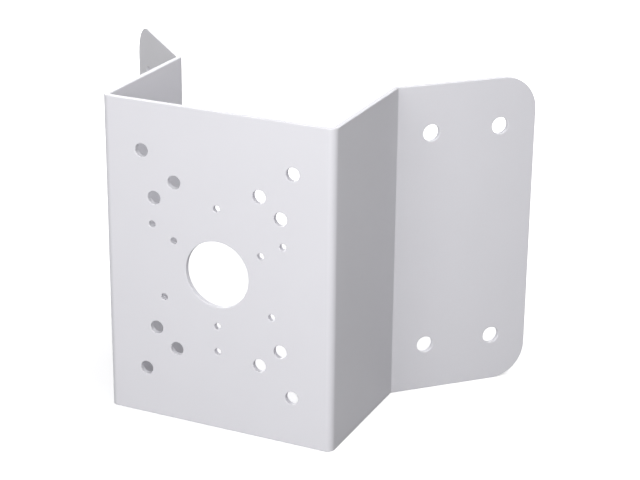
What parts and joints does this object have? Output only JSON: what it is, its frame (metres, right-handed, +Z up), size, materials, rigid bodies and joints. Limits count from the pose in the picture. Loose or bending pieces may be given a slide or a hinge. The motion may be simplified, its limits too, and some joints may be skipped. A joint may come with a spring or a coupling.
{
  "type": "camera corner mount bracket",
  "caption": "Folded sheet bracket for an outside wall corner: drilled front plate with cable hole, two side webs, two angled wall wings.",
  "frame": {"origin": "centre of the cable hole on the plate's front face", "axes": "+Z up along the folds, -Y out of the front plate, +X to the right of someone who faces the plate"},
  "size_m": [0.2368, 0.1333, 0.17],
  "materials": {
    "powder_coat": "white powder coat with a fine even texture, semi-matt"
  },
  "bodies": {
    "root": {"corner_bracket": "powder_coat"}
  },
  "joints": []
}
